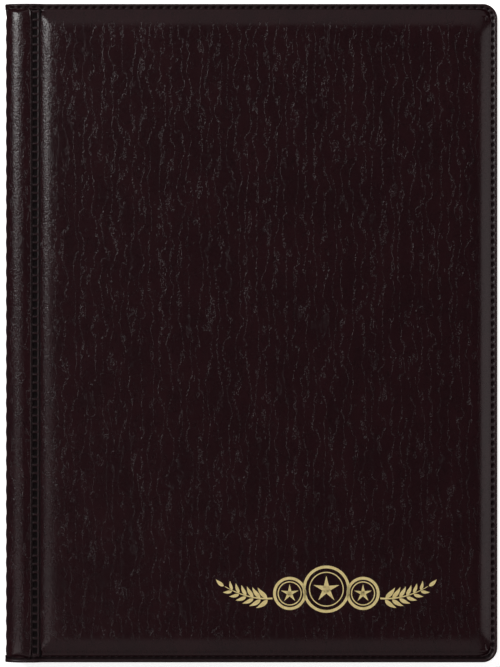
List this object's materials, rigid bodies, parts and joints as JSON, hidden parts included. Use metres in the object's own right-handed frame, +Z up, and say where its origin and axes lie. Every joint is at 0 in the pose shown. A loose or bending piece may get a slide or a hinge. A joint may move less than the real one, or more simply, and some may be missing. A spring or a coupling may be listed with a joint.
{
  "type": "coin album",
  "caption": "Pocket coin album with padded dark leatherette covers, a flexible welded spine and clear plastic leaves of slotted coin pockets.",
  "frame": {"origin": "under the middle of the closed album, on the surface it lies on, at the back cover's outer face", "axes": "+X from the spine to the fore edge, +Y from tail to head, +Z up through the closed album towards the front cover"},
  "size_m": [0.14, 0.187, 0.014],
  "materials": {
    "cover_vinyl": "satin",
    "lining_vinyl": "satin",
    "greyboard": "matte",
    "foam": "matte",
    "binding_vinyl": "gloss",
    "clear_film": "gloss"
  },
  "bodies": {
    "back_cover": {"back_cover_skin": "cover_vinyl", "back_foam_pad": "foam", "back_board": "greyboard", "back_lining": "lining_vinyl"},
    "spine": {"spine_skin": "cover_vinyl", "spine_card": "greyboard", "leaf_binding": "binding_vinyl", "front_fold": "cover_vinyl", "back_fold": "cover_vinyl"},
    "front_cover": {"front_cover_skin": "cover_vinyl", "front_foam_pad": "foam", "front_board": "greyboard", "front_lining": "lining_vinyl"},
    "leaf_1": {"leaf_1_back_film": "clear_film", "leaf_1_pocket_film": "clear_film"},
    "leaf_2": {"leaf_2_back_film": "clear_film", "leaf_2_pocket_film": "clear_film"},
    "leaf_3": {"leaf_3_back_film": "clear_film", "leaf_3_pocket_film": "clear_film"},
    "leaf_4": {"leaf_4_back_film": "clear_film", "leaf_4_pocket_film": "clear_film"},
    "leaf_5": {"leaf_5_back_film": "clear_film", "leaf_5_pocket_film": "clear_film"},
    "leaf_6": {"leaf_6_back_film": "clear_film", "leaf_6_pocket_film": "clear_film"},
    "leaf_7": {"leaf_7_back_film": "clear_film", "leaf_7_pocket_film": "clear_film"},
    "leaf_8": {"leaf_8_back_film": "clear_film", "leaf_8_pocket_film": "clear_film"}
  },
  "joints": [
    {"name": "spine_hinge", "type": "hinge", "parent": "back_cover", "child": "spine", "pos_m": [-0.0691, 0, 0.0009], "axis": [0, -1, 0], "range_deg": [0, 90], "deforming": ["back_fold"]},
    {"name": "front_cover_hinge", "type": "hinge", "parent": "spine", "child": "front_cover", "pos_m": [-0.0691, 0, 0.0131], "axis": [0, -1, 0], "range_deg": [0, 90], "deforming": ["front_fold"]},
    {"name": "leaf_1_hinge", "type": "hinge", "parent": "spine", "child": "leaf_1", "pos_m": [-0.0676, 0, 0.0105], "axis": [0, -1, 0], "range_deg": [0, 84.6]},
    {"name": "leaf_2_hinge", "type": "hinge", "parent": "spine", "child": "leaf_2", "pos_m": [-0.0668, 0, 0.0095], "axis": [0, -1, 0], "range_deg": [0, 79.2]},
    {"name": "leaf_3_hinge", "type": "hinge", "parent": "spine", "child": "leaf_3", "pos_m": [-0.066, 0, 0.0085], "axis": [0, -1, 0], "range_deg": [0, 73.8]},
    {"name": "leaf_4_hinge", "type": "hinge", "parent": "spine", "child": "leaf_4", "pos_m": [-0.0652, 0, 0.0075], "axis": [0, -1, 0], "range_deg": [0, 66.6]},
    {"name": "leaf_5_hinge", "type": "hinge", "parent": "spine", "child": "leaf_5", "pos_m": [-0.0652, 0, 0.0065], "axis": [0, -1, 0], "range_deg": [-66.6, 0]},
    {"name": "leaf_6_hinge", "type": "hinge", "parent": "spine", "child": "leaf_6", "pos_m": [-0.066, 0, 0.0055], "axis": [0, -1, 0], "range_deg": [-73.8, 0]},
    {"name": "leaf_7_hinge", "type": "hinge", "parent": "spine", "child": "leaf_7", "pos_m": [-0.0668, 0, 0.0045], "axis": [0, -1, 0], "range_deg": [-79.2, 0]},
    {"name": "leaf_8_hinge", "type": "hinge", "parent": "spine", "child": "leaf_8", "pos_m": [-0.0676, 0, 0.0035], "axis": [0, -1, 0], "range_deg": [-84.6, 0]}
  ],
  "couplings": [
    {"joint": "leaf_1_hinge", "follows": "front_cover_hinge", "ratio": 0.94},
    {"joint": "leaf_2_hinge", "follows": "front_cover_hinge", "ratio": 0.88},
    {"joint": "leaf_3_hinge", "follows": "front_cover_hinge", "ratio": 0.82},
    {"joint": "leaf_4_hinge", "follows": "front_cover_hinge", "ratio": 0.74},
    {"joint": "leaf_5_hinge", "follows": "spine_hinge", "ratio": -0.74},
    {"joint": "leaf_6_hinge", "follows": "spine_hinge", "ratio": -0.82},
    {"joint": "leaf_7_hinge", "follows": "spine_hinge", "ratio": -0.88},
    {"joint": "leaf_8_hinge", "follows": "spine_hinge", "ratio": -0.94}
  ]
}
